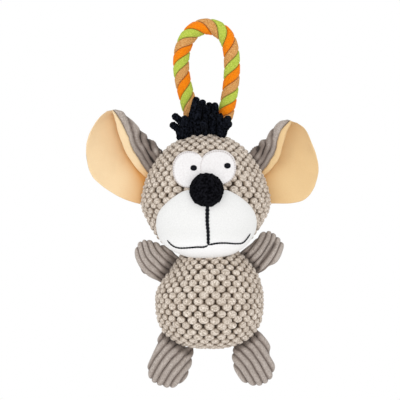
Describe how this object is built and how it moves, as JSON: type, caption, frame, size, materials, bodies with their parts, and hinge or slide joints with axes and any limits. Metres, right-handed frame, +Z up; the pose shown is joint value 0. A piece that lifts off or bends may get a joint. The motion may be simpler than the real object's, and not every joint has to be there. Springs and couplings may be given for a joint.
{
  "type": "dog toy",
  "caption": "Stuffed mouse-like dog toy of bobbled plush with cupped ears, a padded muzzle, corduroy limbs, a squeaker and a twisted rope loop on its head.",
  "frame": {"origin": "the point under the top of the rope loop, where a hook or a hand carries the hanging toy", "axes": "+Z up along the hanging toy, the face looks toward -Y, +X to the viewer's right when facing it"},
  "size_m": [0.2117, 0.1237, 0.3306],
  "materials": {
    "rope_orange": "woven fabric strand",
    "rope_green": "woven fabric strand",
    "rope_tan": "woven fabric strand",
    "bobble_plush": "bobbled plush",
    "filling": "loose fibre",
    "muzzle_plush": "smooth short plush",
    "felt": "felt",
    "stitching": "satin stitch",
    "fleece": "fleece",
    "chenille": "chenille yarn",
    "canvas": "plain woven canvas",
    "corduroy": "wide-wale corduroy",
    "squeaker": "soft moulded plastic"
  },
  "bodies": {
    "rope_loop": {"rope_strand_orange": "rope_orange", "rope_strand_green": "rope_green", "rope_strand_tan": "rope_tan"},
    "head": {"head_front_panel": "bobble_plush", "head_back_panel": "bobble_plush", "head_filling": "filling", "muzzle": "muzzle_plush", "snout_line": "stitching", "mouth_line_left": "stitching", "mouth_line_right": "stitching", "eye_patch_left": "felt", "eye_patch_right": "felt", "pupil_left": "stitching", "pupil_right": "stitching", "nose": "fleece", "hair_strand_1": "chenille", "hair_strand_2": "chenille", "hair_strand_3": "chenille", "hair_strand_4": "chenille", "hair_strand_5": "chenille", "hair_strand_6": "chenille", "hair_strand_7": "chenille", "hair_strand_8": "chenille", "hair_strand_9": "chenille", "hair_strand_10": "chenille", "hair_strand_11": "chenille", "hair_strand_12": "chenille", "hair_strand_13": "chenille", "hair_strand_14": "chenille"},
    "ear_left": {"ear_lining_left": "canvas", "ear_back_left": "corduroy"},
    "ear_right": {"ear_lining_right": "canvas", "ear_back_right": "corduroy"},
    "torso": {"torso_front_panel": "bobble_plush", "torso_back_panel": "bobble_plush", "torso_filling": "filling", "squeaker_bulb": "squeaker", "squeaker_reed": "squeaker"},
    "arm_left": {"arm_left": "corduroy"},
    "arm_right": {"arm_right": "corduroy"},
    "leg_left": {"leg_left": "corduroy"},
    "leg_right": {"leg_right": "corduroy"}
  },
  "joints": [
    {"name": "loop_base", "type": "hinge", "parent": "rope_loop", "child": "head", "pos_m": [0, 0, -0.0905], "axis": [1, 0, 0], "range_deg": [-20, 20], "stiffness_Nm_per_rad": 0.3},
    {"name": "neck_nod", "type": "hinge", "parent": "head", "child": "torso", "pos_m": [-0.0014, 0, -0.199], "axis": [1, 0, 0], "range_deg": [-15, 15], "stiffness_Nm_per_rad": 0.5},
    {"name": "ear_left_flap", "type": "hinge", "parent": "head", "child": "ear_left", "pos_m": [-0.05522, 0, -0.12631], "axis": [0.3691, 0, 0.9294], "range_deg": [-25, 25], "stiffness_Nm_per_rad": 0.03},
    {"name": "ear_right_flap", "type": "hinge", "parent": "head", "child": "ear_right", "pos_m": [0.0525, 0, -0.12651], "axis": [-0.3668, 0, 0.9303], "range_deg": [-25, 25], "stiffness_Nm_per_rad": 0.03},
    {"name": "arm_left_flap", "type": "hinge", "parent": "torso", "child": "arm_left", "pos_m": [-0.03826, 0, -0.20837], "axis": [0.5575, 0, 0.8301], "range_deg": [-35, 35], "stiffness_Nm_per_rad": 0.03},
    {"name": "arm_right_flap", "type": "hinge", "parent": "torso", "child": "arm_right", "pos_m": [0.03997, 0, -0.20471], "axis": [-0.627, 0, 0.779], "range_deg": [-35, 35], "stiffness_Nm_per_rad": 0.03},
    {"name": "leg_left_flap", "type": "hinge", "parent": "torso", "child": "leg_left", "pos_m": [-0.03134, 0, -0.27618], "axis": [-0.8372, 0, 0.5468], "range_deg": [-35, 35], "stiffness_Nm_per_rad": 0.04},
    {"name": "leg_right_flap", "type": "hinge", "parent": "torso", "child": "leg_right", "pos_m": [0.0364, 0, -0.27573], "axis": [0.8239, 0, 0.5668], "range_deg": [-35, 35], "stiffness_Nm_per_rad": 0.04}
  ]
}
